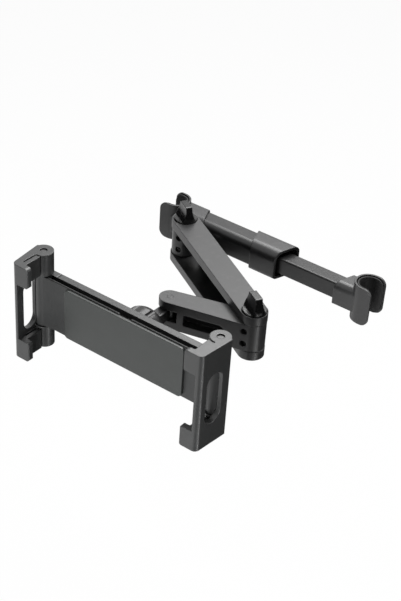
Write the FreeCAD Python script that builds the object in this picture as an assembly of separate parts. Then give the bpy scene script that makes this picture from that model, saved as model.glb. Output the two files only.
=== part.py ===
import FreeCAD, Part
import math
import os

# A tablet holder that hangs between the two posts of a car headrest.
# A sprung telescopic bar grips the posts, a folding arm swings out from it,
# and a ball joint at the arm's end carries a cradle whose two claws grip a tablet.
# Millimetres. The origin is the left post's axis at the bar's mid height.
# +X runs along the bar to the right post, +Y points away from the tablet, +Z is up.

V = FreeCAD.Vector

# Hooks on the headrest posts
post_spacing = 160.0
post_hook_r = 7.2
pad_thick = 1.65
pad_lip_thick = 1.0
pad_lip_height = 1.5
pad_drop = 0.6
pad_setback = 0.8
hook_wall = 1.3
hook_height = 27.8
finger_reach = 7.0
finger_corner_r = 5.5

# Telescopic bar
tube_width = 17.0
tube_top = 9.6
tube_bottom = 7.8
tube_front_r = 5.5
tube_back_r = 3.0
tube_under_r = 1.5
tube_side_wall = 1.3
tube_top_wall = 0.9
tube_start = 12.5
tube_end = 87.0
sleeve_wall = 1.5
sleeve_end_back = 22.4
sleeve_end_front = 30.2
collar_wall = 2.0
collar_start_back = 65.3
collar_start_front = 71.6
collar_end_back = 98.4
collar_end_front = 91.6
bar_width = 11.4
bar_height = 12.6
bar_edge_r = 1.2
tube_bore_front_r = 3.0
bar_wall = 1.5
bar_gap = 0.15
guide_length = 7.0
flange_length = 2.8
spring_seat_r = 3.0
spring_seat_length = 3.0
bar_spring_r = 4.3
bar_spring_wire_r = 0.5
bar_spring_turns = 9
right_sleeve_wall = 2.3
right_sleeve_front_r = 5.5
right_sleeve_back_r = 1.5
right_sleeve_start_front = 138.3
right_sleeve_start_back = 144.0
bar_end_wall = 2.8

# Folding arm
shoulder_x = 23.5
shoulder_y = -20.9
shoulder_angle = -30.7
upper_arm_length = 116.1
upper_arm_height = 32.7
upper_arm_r = 9.3
elbow_end_r = 8.8
lug_thick = 6.2
web_wall = 1.6
web_offset = 9.0
web_inset = 12.0
knuckle_r = 8.6
knuckle_height = 19.9
neck_width = 13.0
neck_height = 16.0
neck_offset = -2.0
lower_arm_angle = 195.8
lower_arm_length = 56.6
lower_arm_end_r = 7.2
fork_gap = 8.3
fork_depth = 7.9
rib_wall = 4.2
pocket_end = 16.1
pocket_height = 8.4
pocket_drop = 0.4
pocket_depth = 6.0

# Hinge hardware
bolt_r = 2.0
bolt_head_across = 7.0
bolt_head_height = 3.2
bush_r = 4.0
screw_pocket_r = 2.2
screw_pocket_depth = 2.4
set_screw_r = 1.5
set_screw_spacing = 9.2
shoulder_screw_angle = -82.0
elbow_screw_angle = -95.0
washer_r = 6.0
washer_thick = 1.0
stem_pin_r = 2.0

# Hinge knobs
knob_base_r = 8.0
knob_base_height = 2.4
knob_sink = 1.1
knob_top = 28.0
blade_length = 10.3
blade_thick = 4.8
blade_foot_thick = 9.6
insert_r = 3.2
insert_height = 4.6

# Ball joint
stem_length = 42.7
stem_size = 8.0
stem_eye_r = 6.0
stem_round_r = 4.0
stem_square_start = 28.0
ball_r = 8.5
ball_y = 16.0
cup_wall = 1.2
cup_end = 15.0
socket_wall = 1.6
socket_length = 7.9
ring_start = 17.2
ring_end = 21.2
ring_r = 10.6
nut_r = 14.4
nut_start = 8.0
nut_shoulder = 17.6
nut_end = 24.0
nut_end_r = 8.8
nut_lip_y = 21.4
nut_flutes = 8
nut_flute_r = 1.8

# Cradle housing
rear_wall_front = 2.2
rear_wall_back = 7.1
rear_wall_half = 62.0
housing_top = 17.8
housing_bottom = -18.6
housing_corner_r = 3.0
plate_half = 47.4
plate_front = -5.3
plate_back = -3.3
rail_inner = 12.5
rail_thick = 1.2
boss_r = 1.9
boss_z = 2.65
boss_x = (20.0, 43.0)
cover_screw_r = 1.0
cover_screw_head_r = 1.8
cover_screw_head = 1.6
peg_x = 10.0
peg_r = 1.0

# Clamp slides, racks and pinion
slide_front = -3.15
face_plate_thick = 1.1
core_back = 1.9
slide_top = 18.5
slide_bottom = -19.4
slide_inner_end = 4.2
cheek_length = 13.0
cheek_hollow_r = 40.0
core_outer_end = 66.0
core_inner_end = 48.0
clamp_travel = 30.0
rack_overlap = 8.0
module = 1.2
pinion_teeth = 10
pressure_angle = 25.0
tooth_backlash = 0.3
rack_tooth_height = 1.0
rack_back = 12.2
pinion_front = -2.0
pinion_back = 1.9
pinion_pin_r = 2.0
pinion_head_r = 3.2
pinion_head = 0.8
clamp_spring_r = 1.5
clamp_spring_wire_r = 0.3
clamp_spring_turns = 8

# Claws
claw_pin_x = 69.35
claw_half_height = 35.5
claw_barrel_r = 6.6
claw_hook_start = 21.0
claw_front = -24.0
claw_wall_x_back = 76.3
claw_wall_x_front = 73.7
claw_wall = 3.7
claw_wall_end = 2.5
claw_corner_r = 3.5
lip_reach = 61.0
lip_thick = 4.0
lip_corner_r = 2.2
lip_inner_corner_r = 1.5
tongue_face = 65.8
claw_pin_r = 2.4
claw_pin_recess = 0.8
slit_width = 1.2
slit_r = 7.2
slit_start = -18.3
long_slit_angle = -90.0
short_slit_angle = -97.0
slit_end_angle = -40.0
window_front = -17.7
window_back = -4.2
window_top = 17.7
window_bottom = -19.4
slide_knuckle_r = 5.35

# Clearances
fixed_gap = 0.05
shaft_gap = 0.08
sliding_gap = 0.1
hinge_gap = 0.3
cut = 2.0

# Worked-out places
hook_inner_r = post_hook_r + pad_thick + fixed_gap
hook_outer_r = hook_inner_r + hook_wall
elbow_x = shoulder_x + upper_arm_length * math.cos(math.radians(shoulder_angle))
elbow_y = shoulder_y + upper_arm_length * math.sin(math.radians(shoulder_angle))
wrist_x = elbow_x + lower_arm_length * math.cos(math.radians(lower_arm_angle))
wrist_y = elbow_y + lower_arm_length * math.sin(math.radians(lower_arm_angle))
cradle_x = wrist_x
cradle_y = wrist_y - stem_length
arm_half = upper_arm_height / 2
lug_inner = arm_half - lug_thick
knuckle_half = knuckle_height / 2
slide_knuckle_half = -slide_bottom
claw_barrel_start = slide_knuckle_half + hinge_gap
guide_start = tube_end - guide_length
bar_start = guide_start - sliding_gap - flange_length
bar_end = post_spacing - hook_outer_r - bar_end_wall
pitch_r = module * pinion_teeth / 2


def box(x0, x1, y0, y1, z0, z1):
    """A block between two opposite corners."""
    return Part.makeBox(x1 - x0, y1 - y0, z1 - z0, V(x0, y0, z0))


def rod(r, start, end):
    """A round rod from one point to another."""
    start, end = V(*start), V(*end)
    return Part.makeCylinder(r, (end - start).Length, start, end - start)


def place(axis, level):
    """How a 2-D point of an outline becomes a 3-D point, for an outline seen along an axis."""
    return {
        "x": lambda a, b: V(level, a, b),
        "y": lambda a, b: V(a, level, b),
        "z": lambda a, b: V(a, b, level),
    }[axis]


def prism(points, radii, axis, low, high):
    """A solid with a straight-sided outline, each corner rounded by its own radius."""
    to_3d = place(axis, low)
    flat = [V(a, b, 0) for a, b in points]
    count = len(flat)
    corners = []
    for i, corner in enumerate(flat):
        if radii[i] <= 0:
            corners.append([corner])
            continue
        back = (flat[i - 1] - corner).normalize()
        ahead = (flat[(i + 1) % count] - corner).normalize()
        half_angle = back.getAngle(ahead) / 2
        run = radii[i] / math.tan(half_angle)
        bisector = (back + ahead).normalize()
        centre = corner + bisector * (radii[i] / math.sin(half_angle))
        corners.append([corner + back * run, centre - bisector * radii[i], corner + ahead * run])
    edges = []
    for i, points_here in enumerate(corners):
        here = [to_3d(p.x, p.y) for p in points_here]
        if len(here) == 3:
            edges.append(Part.Arc(*here).toShape())
        following = corners[(i + 1) % count][0]
        following = to_3d(following.x, following.y)
        if (following - here[-1]).Length > 1e-6:
            edges.append(Part.LineSegment(here[-1], following).toShape())
    direction = {"x": V(1, 0, 0), "y": V(0, 1, 0), "z": V(0, 0, 1)}[axis]
    face = Part.Face(Part.Wire(edges))
    return face.extrude(direction * (high - low))


def turned(profile, axis_y=True):
    """A turned solid from (radius, place along the axis) points; the axis is +Y or +Z."""
    points = [V(r, along, 0) for r, along in profile]
    face = Part.Face(Part.makePolygon(points + [points[0]]))
    solid = face.revolve(V(0, 0, 0), V(0, 1, 0), 360)
    if not axis_y:
        solid.rotate(V(0, 0, 0), V(1, 0, 0), 90)
    return solid


def fused(pieces):
    """One solid from several that meet."""
    return pieces[0].fuse(pieces[1:]).removeSplitter()


def drilled(solid, cutters):
    """A solid with all the cutters taken away."""
    return solid.cut(cutters[0].multiFuse(cutters[1:])) if len(cutters) > 1 else solid.cut(cutters[0])


def moved(shape, x=0.0, y=0.0, z=0.0, angle=0.0):
    """A copy turned about the upright axis and then shifted."""
    copy = shape.copy()
    copy.rotate(V(0, 0, 0), V(0, 0, 1), angle)
    copy.translate(V(x, y, z))
    return copy


def mirrored(shape):
    """A copy flipped left to right."""
    return shape.mirror(V(0, 0, 0), V(1, 0, 0))


def section(half_width, bottom, top, radii, x0, x1):
    """A bar along +X with its own corner radii: under front, under back, top back, top front."""
    points = [(-half_width, -bottom), (half_width, -bottom), (half_width, top), (-half_width, top)]
    return prism(points, radii, "x", x0, x1)


def tube_outline(grow, x0, x1):
    """A bar of the outer tube's section, grown outwards by a wall or a gap."""
    radii = [r + grow for r in (tube_under_r, tube_under_r, tube_back_r, tube_front_r)]
    return section(tube_width / 2 + grow, tube_bottom + grow, tube_top + grow, radii, x0, x1)


def tube_bore(grow, x0, x1):
    """The outer tube's inner space, grown or shrunk by a gap."""
    radii = [r + grow for r in (bar_edge_r, bar_edge_r, tube_back_r - tube_side_wall, tube_bore_front_r)]
    half_width = tube_width / 2 - tube_side_wall + grow
    return section(half_width, tube_bottom - tube_top_wall + grow, tube_top - tube_top_wall + grow, radii, x0, x1)


def bar_outline(grow, x0, x1):
    """A bar of the inner bar's section, grown outwards by a wall or a gap."""
    half_height = bar_height / 2 + grow
    return section(bar_width / 2 + grow, half_height, half_height, [max(bar_edge_r + grow, 0)] * 4, x0, x1)


def slanted(x_back, x_front, half_width, keep_right):
    """A tall block on one side of a slanted end, as seen from above."""
    far = 200.0 if keep_right else -200.0
    slope = (x_front - x_back) / (2 * half_width)
    wide = 3 * half_width
    back = x_back - slope * (wide - half_width)
    front = x_front + slope * (wide - half_width)
    points = [(back, wide), (front, -wide), (front + far, -wide), (back + far, wide)]
    return prism(points, [0] * 4, "z", -60, 60)


def hook_plate(r, reach, half):
    """A half-round plate with two straight legs towards -X."""
    disc = rod(r, (0, 0, -half), (0, 0, half))
    return fused([disc, box(-reach, 0, -r, r, -half, half)])


def finger_envelope(reach, half):
    """Rounds the ends of a hook's two fingers above and below."""
    far = 3 * hook_outer_r
    points = [(-reach, -half), (far, -half), (far, half), (-reach, half)]
    return prism(points, [finger_corner_r, 0, 0, finger_corner_r], "y", -far, far)


def hook_body(socket_solid):
    """A hook that opens towards -X, fused to the solid that carries the bar."""
    half = hook_height / 2
    shell = fused([hook_plate(hook_outer_r, finger_reach, half), socket_solid])
    shell = shell.common(finger_envelope(finger_reach, half).fuse(socket_solid))
    return shell.cut(hook_plate(hook_inner_r, finger_reach + cut, half + cut)).removeSplitter()


def hook_pad():
    """The soft liner of a hook: a U with a thinner rim above and below."""
    half = hook_height / 2 - pad_drop
    reach = finger_reach - pad_setback
    body = hook_plate(post_hook_r + pad_thick, reach, half - pad_lip_height)
    rims = hook_plate(post_hook_r + pad_lip_thick, reach, half)
    liner = fused([body, rims]).common(finger_envelope(reach, half))
    return liner.cut(hook_plate(post_hook_r, reach + cut, half + cut)).removeSplitter()


def left_hook():
    """Left hook, the sleeve that holds the outer tube, and the shoulder's knuckle in one moulding."""
    half = tube_width / 2 + sleeve_wall
    sleeve = tube_outline(sleeve_wall, 0, 60)
    sleeve = sleeve.cut(slanted(sleeve_end_back, sleeve_end_front, half, True))
    hook = hook_body(sleeve)
    middle = shoulder_x + neck_offset
    neck = box(middle - neck_width / 2, middle + neck_width / 2, shoulder_y, -tube_width / 2 - fixed_gap,
               -neck_height / 2, neck_height / 2)
    barrel = rod(knuckle_r, (shoulder_x, shoulder_y, -knuckle_half), (shoulder_x, shoulder_y, knuckle_half))
    socket = tube_outline(fixed_gap, tube_start - fixed_gap, 60)
    body = fused([hook.cut(socket), neck, barrel])
    body = body.cut(moved(knuckle_cutters(shoulder_screw_angle), shoulder_x, shoulder_y))
    seat = rod(spring_seat_r, (tube_start - cut, 0, 0), (tube_start + spring_seat_length, 0, 0))
    return fused([body, seat])


def outer_tube():
    """The bar's outer tube, open at both ends."""
    return tube_outline(0, tube_start, tube_end).cut(tube_bore(0, tube_start - cut, tube_end + cut))


def lock_collar():
    """The thick collar round the tube's mouth, with both ends cut on a slant."""
    half = tube_width / 2 + collar_wall
    collar = tube_outline(collar_wall, 40, 120)
    collar = collar.cut(slanted(collar_start_back, collar_start_front, half, False))
    collar = collar.cut(slanted(collar_end_back, collar_end_front, half, True))
    return collar.cut(tube_outline(fixed_gap, 30, 130))


def bar_guide():
    """The liner in the tube's mouth that the inner bar runs through and stops against."""
    return tube_bore(-fixed_gap, guide_start, tube_end).cut(bar_outline(bar_gap, guide_start - cut, tube_end + cut))


def inner_bar():
    """The hollow sliding bar with the flange that stops it in the tube."""
    bar = bar_outline(0, bar_start, bar_end)
    flange = tube_bore(-bar_gap, bar_start, bar_start + flange_length)
    hollow = bar_outline(-bar_wall, bar_start + flange_length, bar_end + cut)
    seat = rod(spring_seat_r, (bar_start - spring_seat_length, 0, 0), (bar_start + cut, 0, 0))
    return fused([bar, flange, seat]).cut(hollow)


def bar_spring():
    """The compression spring that pushes the bar out against the posts."""
    low = tube_start + bar_spring_wire_r + fixed_gap
    high = bar_start - bar_spring_wire_r - fixed_gap
    return moved_coil(bar_spring_r, bar_spring_wire_r, bar_spring_turns, low, high, 0, 0)


def moved_coil(r, wire_r, turns, x0, x1, y, z):
    """A coil of round wire about a line along +X."""
    helix = Part.makeHelix((x1 - x0) / turns, x1 - x0, r)
    start = helix.Vertexes[0].Point
    section = Part.Wire(Part.Circle(start, V(0, 1, 0), wire_r).toShape())
    coil = Part.Wire(helix.Edges).makePipeShell([section], True, True)
    coil.rotate(V(0, 0, 0), V(0, 1, 0), 90)
    coil.translate(V(x0, y, z))
    return coil


def right_hook():
    """Right hook and the short sleeve that the inner bar is fixed in, opening towards +X."""
    half, high = bar_width / 2 + right_sleeve_wall + 0.6, bar_height / 2 + right_sleeve_wall
    radii = [tube_under_r, tube_under_r, right_sleeve_back_r, right_sleeve_front_r]
    sleeve = section(half, high, high, radii, 0, 60)
    hook = mirrored(hook_body(sleeve))
    hook = moved(hook, post_spacing)
    hook = hook.cut(slanted(right_sleeve_start_back, right_sleeve_start_front, half, False))
    return hook.cut(bar_outline(fixed_gap, 60, bar_end + fixed_gap))


def knuckle_cutters(screw_angle):
    """The bush bore and the two set-screw pockets of a hinge barrel."""
    cutters = [rod(bush_r + fixed_gap / 2, (0, 0, -knuckle_half - cut), (0, 0, knuckle_half + cut))]
    for z in (-set_screw_spacing / 2, set_screw_spacing / 2):
        for r, start in ((screw_pocket_r, knuckle_r - screw_pocket_depth), (set_screw_r + fixed_gap, 0)):
            drill = rod(r, (start, 0, z), (knuckle_r + 4 * cut, 0, z))
            cutters.append(moved(drill, angle=screw_angle))
    return fused(cutters)


def set_screws(screw_angle):
    """The two grub screws that lock the bush in its barrel."""
    screws = []
    for z in (-set_screw_spacing / 2, set_screw_spacing / 2):
        screw = rod(set_screw_r, (bush_r + fixed_gap, 0, z), (knuckle_r - screw_pocket_depth, 0, z))
        hexagon = hex_prism(set_screw_r * 1.1, 0, 1.0)
        hexagon.rotate(V(0, 0, 0), V(0, 1, 0), 90)
        hexagon.translate(V(knuckle_r - screw_pocket_depth - 1.0 + fixed_gap, 0, z))
        screws.append(moved(screw.cut(hexagon), angle=screw_angle))
    return Part.makeCompound(screws)


def hex_prism(across, z0, z1):
    """An upright hexagon, given by its size across the flats."""
    r = across / math.sqrt(3)
    points = [V(r * math.cos(math.radians(a)), r * math.sin(math.radians(a)), z0) for a in range(0, 360, 60)]
    return Part.Face(Part.makePolygon(points + [points[0]])).extrude(V(0, 0, z1 - z0))


def bush():
    """The friction bush between a hinge bolt and its barrel."""
    half = knuckle_half - fixed_gap
    return rod(bush_r, (0, 0, -half), (0, 0, half)).cut(rod(bolt_r + shaft_gap, (0, 0, -20), (0, 0, 20)))


def washers():
    """The friction washers above and below a hinge barrel."""
    rings = []
    for side in (1, -1):
        near = side * (lug_inner - sliding_gap)
        far = near + side * washer_thick
        ring = rod(washer_r, (0, 0, near), (0, 0, far)).cut(rod(bolt_r + fixed_gap, (0, 0, -20), (0, 0, 20)))
        rings.append(ring)
    return Part.makeCompound(rings)


def hinge_bolt():
    """A hinge bolt, its hexagon head sunk in the arm's underside."""
    head_bottom = -arm_half + fixed_gap
    head = hex_prism(bolt_head_across, head_bottom, head_bottom + bolt_head_height)
    top = arm_half - knob_sink + fixed_gap + insert_height
    shank = rod(bolt_r, (0, 0, head_bottom), (0, 0, top))
    return fused([head, shank])


def lug_cutters():
    """What one hinge takes out of the upper arm: bolt hole, washer seats, knob seat and head seat."""
    pieces = [rod(bolt_r + fixed_gap, (0, 0, -arm_half - cut), (0, 0, arm_half + cut))]
    depth = lug_inner - sliding_gap + washer_thick + fixed_gap
    pieces.append(rod(washer_r + fixed_gap, (0, 0, -depth), (0, 0, depth)))
    knob_seat = rod(knob_base_r + hinge_gap, (0, 0, arm_half - knob_sink), (0, 0, arm_half + cut))
    pieces.append(knob_seat)
    head_top = -arm_half + 2 * fixed_gap + bolt_head_height
    pieces.append(hex_prism(bolt_head_across + 2 * fixed_gap, -arm_half - cut, head_top))
    return fused(pieces)


def upper_arm():
    """The long arm: two flanges joined by a web on the side away from the tablet."""
    length = upper_arm_length
    body = two_round_outline(upper_arm_r, elbow_end_r, length, -arm_half, arm_half)
    reach = upper_arm_r + cut
    recess = box(-reach, length + reach, -reach, reach, -lug_inner, lug_inner)
    web_space = box(web_inset, length - web_inset, web_offset - web_wall, reach, -lug_inner, lug_inner)
    body = body.cut(recess.cut(web_space))
    body = body.cut(fused([lug_cutters(), moved(lug_cutters(), length)]))
    return body


def two_round_outline(r0, r1, length, z0, z1):
    """A plate with two round ends and straight tangent sides, along +X."""
    lean = math.asin((r0 - r1) / length)
    sides = []
    for sign in (1, -1):
        start = (r0 * math.sin(lean), sign * r0 * math.cos(lean))
        end = (length + r1 * math.sin(lean), sign * r1 * math.cos(lean))
        sides.append((start, end))
    (a, b), (d, c) = sides[0], sides[1]
    to_3d = place("z", z0)
    edges = [
        Part.LineSegment(to_3d(*a), to_3d(*b)).toShape(),
        Part.Arc(to_3d(*b), to_3d(length + r1, 0), to_3d(*c)).toShape(),
        Part.LineSegment(to_3d(*c), to_3d(*d)).toShape(),
        Part.Arc(to_3d(*d), to_3d(-r0, 0), to_3d(*a)).toShape(),
    ]
    return Part.Face(Part.Wire(edges)).extrude(V(0, 0, z1 - z0))


def lower_arm():
    """The short arm: a barrel at the elbow, a pocket in its front and a fork for the ball stem."""
    length = lower_arm_length
    body = two_round_outline(knuckle_r, lower_arm_end_r, length, -knuckle_half, knuckle_half)
    fork_start = length - fork_depth
    reach = lower_arm_end_r + cut
    fork = box(fork_start, length + reach, -reach, reach, -fork_gap / 2, fork_gap / 2)
    pin_hole = rod(stem_pin_r + fixed_gap / 2, (length, 0, -knuckle_half - cut), (length, 0, knuckle_half + cut))
    r = pocket_height / 2
    low = -r - pocket_drop
    points = [(pocket_end, low), (fork_start - rib_wall, low), (fork_start - rib_wall, low + pocket_height),
              (pocket_end, low + pocket_height)]
    pocket = prism(points, [r - 0.01, 1.2, 1.2, r - 0.01], "y", lower_arm_end_r - pocket_depth, knuckle_r + cut)
    turn = elbow_screw_angle - lower_arm_angle
    return body.cut(fused([fork, pin_hole])).cut(pocket).cut(knuckle_cutters(turn))


def stem_pin():
    """The pin through the fork and the stem's eye."""
    return rod(stem_pin_r, (lower_arm_length, 0, -knuckle_half), (lower_arm_length, 0, knuckle_half))


def knob():
    """A hinge knob: a round foot with an upright blade, its flanks hollowed."""
    foot_bottom = arm_half - knob_sink + fixed_gap
    foot_top = foot_bottom + knob_base_height
    foot = turned([(0, foot_bottom), (knob_base_r, foot_bottom), (knob_base_r, foot_top - 0.8),
                   (knob_base_r - 0.5, foot_top - 0.2), (0, foot_top)], axis_y=False)
    half_top, half_foot = blade_thick / 2, blade_foot_thick / 2
    to_3d = place("x", -knob_base_r)
    mid_z = foot_top + 0.42 * (knob_top - foot_top)
    mid_half = half_top + 0.16 * (half_foot - half_top)
    edges = [Part.LineSegment(to_3d(-half_foot, foot_bottom + 1), to_3d(half_foot, foot_bottom + 1)).toShape(),
             Part.LineSegment(to_3d(half_foot, foot_bottom + 1), to_3d(half_foot, foot_top)).toShape(),
             Part.Arc(to_3d(half_foot, foot_top), to_3d(mid_half, mid_z), to_3d(half_top, knob_top)).toShape(),
             Part.LineSegment(to_3d(half_top, knob_top), to_3d(-half_top, knob_top)).toShape(),
             Part.Arc(to_3d(-half_top, knob_top), to_3d(-mid_half, mid_z), to_3d(-half_foot, foot_top)).toShape(),
             Part.LineSegment(to_3d(-half_foot, foot_top), to_3d(-half_foot, foot_bottom + 1)).toShape()]
    blade = Part.Face(Part.Wire(edges)).extrude(V(2 * knob_base_r, 0, 0))
    side = [(-knob_base_r, foot_bottom), (knob_base_r, foot_bottom), (knob_base_r - 0.3, foot_top + 1.5),
            (blade_length / 2, knob_top), (-blade_length / 2, knob_top), (0.3 - knob_base_r, foot_top + 1.5)]
    blade = blade.common(prism(side, [0, 0, 6, 1, 1, 6], "y", -knob_base_r, knob_base_r))
    blade = blade.common(rod(knob_base_r - 0.02, (0, 0, foot_bottom), (0, 0, knob_top)))
    body = fused([foot, blade])
    socket = rod(insert_r + fixed_gap / 2, (0, 0, foot_bottom - cut), (0, 0, foot_bottom + insert_height + 0.4))
    return body.cut(socket)


def knob_insert():
    """The threaded metal insert in a knob."""
    bottom = arm_half - knob_sink + 2 * fixed_gap
    ring = rod(insert_r, (0, 0, bottom), (0, 0, bottom + insert_height))
    return ring.cut(rod(bolt_r + shaft_gap, (0, 0, bottom - cut), (0, 0, bottom + insert_height + cut)))


def ball_stem():
    """The stem: an eye in the arm's fork, a square neck and the ball."""
    ball = Part.makeSphere(ball_r, V(0, ball_y, 0))
    neck = rod(stem_round_r, (0, ball_y, 0), (0, stem_square_start + 1, 0))
    half = stem_size / 2
    points = [(-half, -half), (half, -half), (half, half), (-half, half)]
    square = prism(points, [1.2] * 4, "y", stem_square_start, stem_length)
    eye = rod(stem_eye_r, (0, stem_length, -half), (0, stem_length, half))
    hole = rod(stem_pin_r + shaft_gap, (0, stem_length, -half - cut), (0, stem_length, half + cut))
    return fused([ball, neck, square, eye]).cut(hole)


def ball_cup():
    """The front bearing cup of the ball."""
    outer = cup_outer_r()
    bottom = rear_wall_back + fixed_gap
    blank = rod(outer, (0, bottom, 0), (0, cup_end, 0))
    return blank.cut(Part.makeSphere(ball_r + shaft_gap, V(0, ball_y, 0)))


def cup_outer_r():
    """Outer radius of the bearing cup."""
    return ball_r + shaft_gap + cup_wall


def ball_ring():
    """The rear bearing ring that the nut presses on the ball."""
    blank = rod(ring_r, (0, ring_start, 0), (0, ring_end, 0))
    return blank.cut(Part.makeSphere(ball_r + shaft_gap, V(0, ball_y, 0)))


def socket_outer_r():
    """Outer radius of the threaded socket on the housing."""
    return cup_outer_r() + sliding_gap + socket_wall


def ball_nut():
    """The clamping nut: a domed cap with long flutes, screwed over the socket."""
    bore_r = socket_outer_r() + sliding_gap
    lip_r = math.sqrt(ball_r ** 2 - (nut_lip_y - ball_y) ** 2) + hinge_gap / 2
    mid_y = nut_shoulder + 0.62 * (nut_end - nut_shoulder)
    mid_r = nut_end_r + 0.60 * (nut_r - nut_end_r)
    socket_end = rear_wall_back + socket_length + sliding_gap
    outer = [(nut_r - 0.6, nut_start), (nut_r, nut_start + 0.8), (nut_r, nut_shoulder)]
    arc = Part.Arc(V(nut_r, nut_shoulder, 0), V(mid_r, mid_y, 0), V(nut_end_r, nut_end, 0)).toShape()
    dome = [(p.x, p.y) for p in arc.discretize(6)][1:]
    inner = [(lip_r + 1.0, nut_end), (lip_r, nut_lip_y), (ring_r + sliding_gap, nut_lip_y),
             (ring_r + sliding_gap, socket_end), (bore_r, socket_end), (bore_r, nut_start)]
    body = turned(outer + dome + inner)
    flutes = []
    for i in range(nut_flutes):
        angle = 2 * math.pi * (i + 0.5) / nut_flutes
        x, z = (nut_r + 0.6) * math.cos(angle), (nut_r + 0.6) * math.sin(angle)
        flutes.append(rod(nut_flute_r, (x, nut_start - cut, z), (x, nut_end, z)))
    return drilled(body, flutes)


def boss_places(sign):
    """Where the cover's four bosses stand on one side: left ones low, right ones high."""
    return [(sign * x, sign * boss_z) for x in boss_x]


def all_bosses():
    """All four boss places."""
    return boss_places(-1) + boss_places(1)


def rear_housing():
    """The cradle's back: a wall with two rails for the slides, spring pegs and the ball's socket."""
    half = rear_wall_half
    points = [(-half, housing_bottom), (half, housing_bottom), (half, housing_top), (-half, housing_top)]
    wall = prism(points, [housing_corner_r] * 4, "y", rear_wall_front, rear_wall_back)
    rail_front = slide_front + face_plate_thick + sliding_gap
    rails = []
    for low in (rail_inner, -rail_inner - rail_thick):
        rails.append(box(-plate_half, plate_half, rail_front, rear_wall_front + cut, low, low + rail_thick))
    pegs = []
    for sign in (-1, 1):
        pegs.append(rod(peg_r, (sign * peg_x, pinion_front, -sign * boss_z),
                        (sign * peg_x, rear_wall_front + cut, -sign * boss_z)))
    socket = rod(socket_outer_r(), (0, rear_wall_back - cut, 0), (0, rear_wall_back + socket_length, 0))
    bore = rod(cup_outer_r() + sliding_gap, (0, rear_wall_back, 0), (0, rear_wall_back + socket_length + cut, 0))
    body = fused([wall] + rails + pegs + [socket]).cut(bore)
    head_depth = rear_wall_back - cover_screw_head - fixed_gap
    holes = [rod(pinion_pin_r + fixed_gap / 2, (0, -cut, 0), (0, rear_wall_back + cut, 0))]
    for x, z in all_bosses():
        holes.append(rod(cover_screw_r + fixed_gap, (x, -cut, z), (x, rear_wall_back + cut, z)))
        holes.append(rod(cover_screw_head_r + fixed_gap, (x, head_depth, z), (x, rear_wall_back + cut, z)))
    return drilled(body, holes)


def front_plate():
    """The thin front plate that a tablet rests against, with the bosses that carry it."""
    points = [(-plate_half, housing_bottom), (plate_half, housing_bottom),
              (plate_half, housing_top), (-plate_half, housing_top)]
    pieces = [prism(points, [housing_corner_r] * 4, "y", plate_front, plate_back)]
    holes = []
    for x, z in all_bosses():
        pieces.append(rod(boss_r, (x, plate_back - cut / 2, z), (x, rear_wall_front, z)))
        holes.append(rod(cover_screw_r, (x, plate_back, z), (x, rear_wall_front + cut, z)))
    return drilled(fused(pieces), holes)


def housing_screws():
    """The four screws that hold the front plate to the housing from behind."""
    screws = []
    for x, z in all_bosses():
        head_y = rear_wall_back - cover_screw_head
        shank = rod(cover_screw_r - fixed_gap, (x, plate_back + fixed_gap, z), (x, head_y + cut / 4, z))
        head = rod(cover_screw_head_r, (x, head_y, z), (x, rear_wall_back, z))
        slot = box(x - cover_screw_head_r, x + cover_screw_head_r, rear_wall_back - 0.6, rear_wall_back + cut,
                   z - 0.3, z + 0.3)
        cross = box(x - 0.3, x + 0.3, rear_wall_back - 0.6, rear_wall_back + cut,
                    z - cover_screw_head_r, z + cover_screw_head_r)
        screws.append(fused([shank, head]).cut(slot.fuse(cross)))
    return Part.makeCompound(screws)


def pinion_pin():
    """The headed pin that the pinion turns on."""
    shank = rod(pinion_pin_r, (0, pinion_front - sliding_gap - pinion_head / 2, 0), (0, rear_wall_back, 0))
    head = rod(pinion_head_r, (0, pinion_front - sliding_gap - pinion_head, 0), (0, pinion_front - sliding_gap, 0))
    return fused([shank, head])


def involute(base_r, r):
    """Polar angle of an involute of a base circle at a radius."""
    spread = math.acos(min(base_r / r, 1.0))
    return math.tan(spread) - spread


def pinion():
    """The pinion that makes both slides move alike."""
    base_r = pitch_r * math.cos(math.radians(pressure_angle))
    root_r = pitch_r - 1.2 * module
    tip_r = pitch_r + module
    half_tooth = math.pi / (2 * pinion_teeth) - tooth_backlash / (4 * pitch_r)
    start_r = max(base_r, root_r)
    flank = []
    for i in range(5):
        r = start_r + (tip_r - start_r) * i / 4
        flank.append((r, half_tooth + involute(base_r, pitch_r) - involute(base_r, r)))
    outline = []
    for tooth in range(pinion_teeth):
        middle = 2 * math.pi * tooth / pinion_teeth
        points = [(root_r, -flank[0][1])] + [(r, -a) for r, a in flank]
        points += [(r, a) for r, a in reversed(flank)] + [(root_r, flank[0][1])]
        outline += [V(r * math.cos(middle + a), pinion_front, r * math.sin(middle + a)) for r, a in points]
    face = Part.Face(Part.makePolygon(outline + [outline[0]]))
    gear = face.extrude(V(0, pinion_back - pinion_front, 0))
    return gear.cut(rod(pinion_pin_r + shaft_gap, (0, pinion_front - cut, 0), (0, pinion_back + cut, 0)))


def rack(x0, x1, y0, y1):
    """A rack bar above the pinion, with a tooth centred over it."""
    pitch = math.pi * module
    root_z = pitch_r + 1.25 * module
    slope = math.tan(math.radians(pressure_angle))
    half = pitch / 4 - tooth_backlash / 4
    bar = box(x0, x1, y0, y1, root_z, rack_back)
    teeth = [bar]
    first = math.ceil((x0 + half * 2) / pitch)
    last = math.floor((x1 - half * 2) / pitch)
    for i in range(first, last + 1):
        x = i * pitch
        tip = half - rack_tooth_height * slope
        foot = half + (root_z + 0.1 - pitch_r) * slope
        points = [(x - tip, pitch_r - rack_tooth_height), (x + tip, pitch_r - rack_tooth_height),
                  (x + foot, root_z + 0.1), (x - foot, root_z + 0.1)]
        teeth.append(prism(points, [0] * 4, "y", y0, y1))
    return fused(teeth)


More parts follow.
